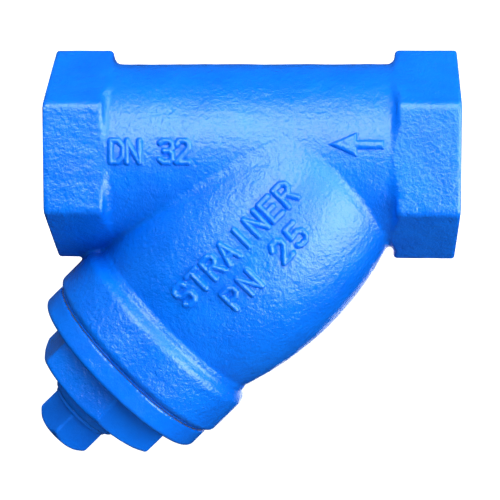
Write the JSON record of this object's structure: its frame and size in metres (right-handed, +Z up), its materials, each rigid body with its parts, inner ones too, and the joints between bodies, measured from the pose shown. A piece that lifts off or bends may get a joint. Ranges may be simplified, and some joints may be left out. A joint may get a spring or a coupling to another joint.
{
  "type": "y strainer",
  "caption": "Threaded Y-pattern pipe strainer with hexagonal run ends, an angled screen leg, a screwed cover and a square-head blow-off plug.",
  "frame": {"origin": "centre of the inlet face, on the axis of the pipe run", "axes": "+X along the run and out of the inlet, +Z up, so the leg slopes down towards -X and -Z; flow goes towards -X"},
  "size_m": [0.1336, 0.0732, 0.1296],
  "materials": {
    "blue_epoxy": "glossy fusion-bonded epoxy over rough cast ductile iron",
    "stainless_steel": "perforated stainless sheet, mill finish",
    "gasket_fibre": "dark compressed fibre sheet, matt",
    "ptfe_tape": "white thread seal tape"
  },
  "bodies": {
    "body": {"strainer_body": "blue_epoxy"},
    "screen": {"screen_tube": "stainless_steel", "screen_top_band": "stainless_steel", "screen_bottom_band": "stainless_steel"},
    "gasket": {"cover_gasket": "gasket_fibre"},
    "cover": {"cover": "blue_epoxy"},
    "seal": {"thread_seal_tape": "ptfe_tape"},
    "plug": {"blow_off_plug": "blue_epoxy"}
  },
  "joints": [
    {"name": "screen_withdrawal", "type": "slide", "parent": "body", "child": "screen", "axis": [-0.7071, 0, -0.7071], "range_m": [0, 0.09]},
    {"name": "cover_travel", "type": "slide", "parent": "screen", "child": "gasket", "axis": [-0.7071, 0, -0.7071], "range_m": [0, 0.0141]},
    {"name": "cover_turn", "type": "hinge", "parent": "gasket", "child": "cover", "pos_m": [-0.0369, 0, 0], "axis": [-0.7071, 0, -0.7071], "range_deg": [0, 2520]},
    {"name": "plug_travel", "type": "slide", "parent": "cover", "child": "seal", "axis": [-0.7071, 0, -0.7071], "range_m": [0, 0.0146]},
    {"name": "plug_turn", "type": "hinge", "parent": "seal", "child": "plug", "pos_m": [-0.0369, 0, 0], "axis": [-0.7071, 0, -0.7071], "range_deg": [0, 2880]}
  ],
  "couplings": [
    {"joint": "cover_travel", "follows": "cover_turn", "m_per_rad": 0.00031831},
    {"joint": "plug_travel", "follows": "plug_turn", "m_per_rad": 0.00028871}
  ]
}
